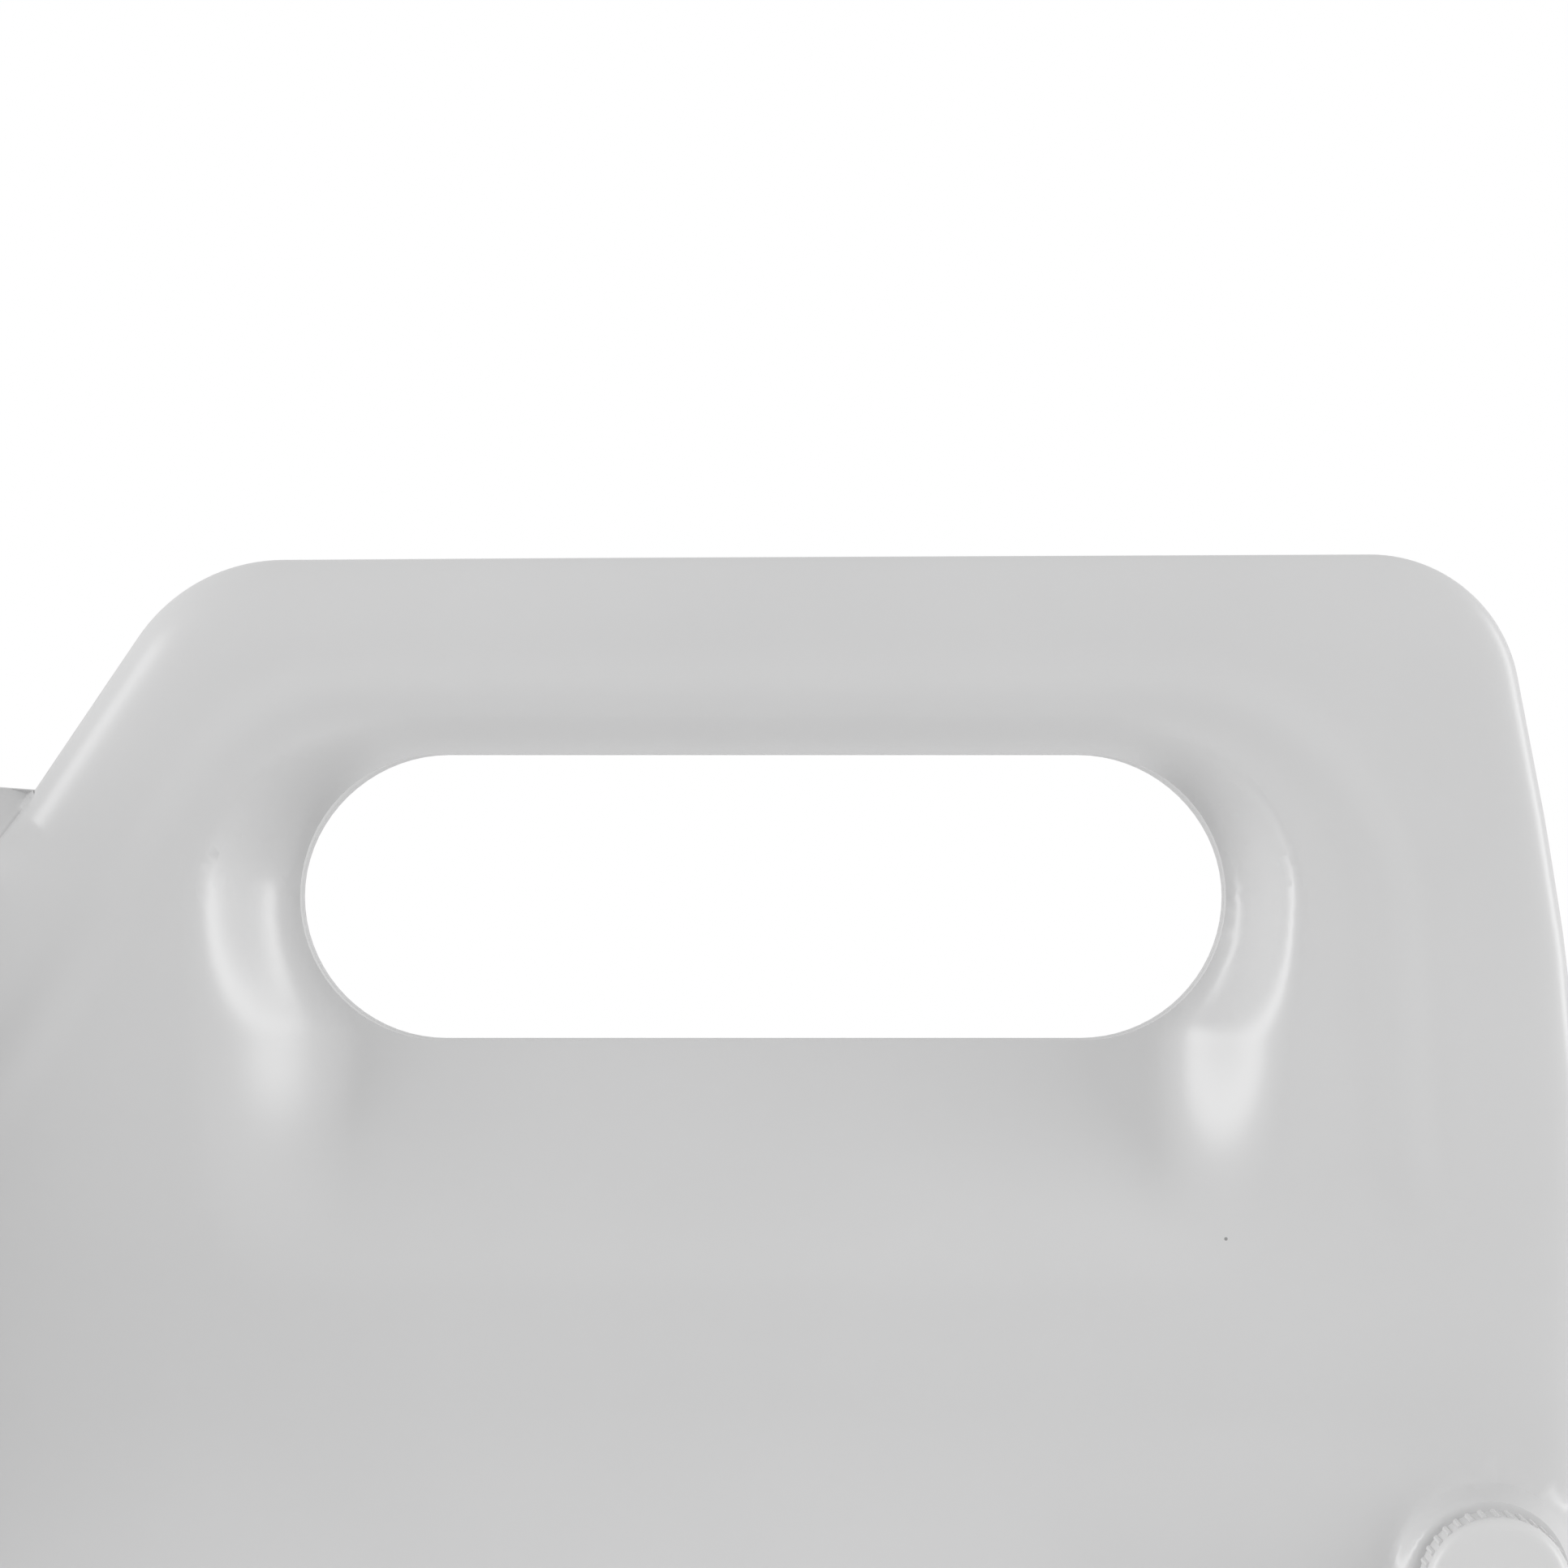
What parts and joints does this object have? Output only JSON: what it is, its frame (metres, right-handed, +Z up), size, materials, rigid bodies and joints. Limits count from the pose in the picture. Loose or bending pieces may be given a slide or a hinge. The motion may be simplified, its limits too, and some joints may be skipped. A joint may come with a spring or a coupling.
{
  "type": "oil drain pan",
  "caption": "Closed, flat oil drain pan with a moulded carrying handle, a lipped catch basin with a screw drain plug, a capped pour spout and a capped vent.",
  "frame": {"origin": "middle of the base that the pan stands on, under the centre of its outer box", "axes": "+X to the right of the pan seen from the basin's side, where the handle is; +Y out of the flat back; the catch basin faces -Y; +Z up to the handle"},
  "size_m": [0.345, 0.108, 0.4549],
  "materials": {
    "tank": "light grey blow-moulded polyethylene, semi-gloss",
    "neck": "light grey moulded polyethylene",
    "cap": "light grey moulded polypropylene, fine grip ribs",
    "seal": "black nitrile rubber, matt",
    "drain_fitting": "dark grey moulded nylon, fine grain",
    "strainer": "off-white moulded screen"
  },
  "bodies": {
    "root": {"front_shell": "tank", "back_shell": "tank", "catch_basin": "tank", "back_panel": "tank", "spout_neck": "neck", "vent_neck": "neck", "drain_bushing": "drain_fitting", "drain_gasket": "seal", "drain_nut": "drain_fitting", "drain_strainer": "strainer"},
    "spout_seal": {"spout_cap_seal": "seal"},
    "spout_cap": {"spout_cap": "cap"},
    "vent_seal": {"vent_cap_seal": "seal"},
    "vent_cap": {"vent_cap": "cap"},
    "plug_seal": {"drain_o_ring": "seal"},
    "drain_plug": {"drain_plug": "drain_fitting"}
  },
  "joints": [
    {"name": "spout_cap_lift", "type": "slide", "parent": "root", "child": "spout_seal", "axis": [0, 0, 1], "range_m": [0, 0.012]},
    {"name": "spout_cap_turn", "type": "hinge", "parent": "spout_seal", "child": "spout_cap", "pos_m": [-0.105, 0, 0.44], "axis": [0, 0, 1], "range_deg": [0, 1080]},
    {"name": "vent_cap_travel", "type": "slide", "parent": "root", "child": "vent_seal", "axis": [0, -1, 0], "range_m": [0, 0.006]},
    {"name": "vent_cap_turn", "type": "hinge", "parent": "vent_seal", "child": "vent_cap", "pos_m": [0.1605, -0.03, 0.3288], "axis": [0, -1, 0], "range_deg": [0, 1080]},
    {"name": "drain_plug_travel", "type": "slide", "parent": "root", "child": "plug_seal", "axis": [0, -1, 0], "range_m": [0, 0.012]},
    {"name": "drain_plug_turn", "type": "hinge", "parent": "plug_seal", "child": "drain_plug", "pos_m": [0, -0.02, 0.144], "axis": [0, -1, 0], "range_deg": [0, 1440]}
  ],
  "couplings": [
    {"joint": "spout_cap_lift", "follows": "spout_cap_turn", "m_per_rad": 0.0006366},
    {"joint": "vent_cap_travel", "follows": "vent_cap_turn", "m_per_rad": 0.0003183},
    {"joint": "drain_plug_travel", "follows": "drain_plug_turn", "m_per_rad": 0.0004774}
  ]
}
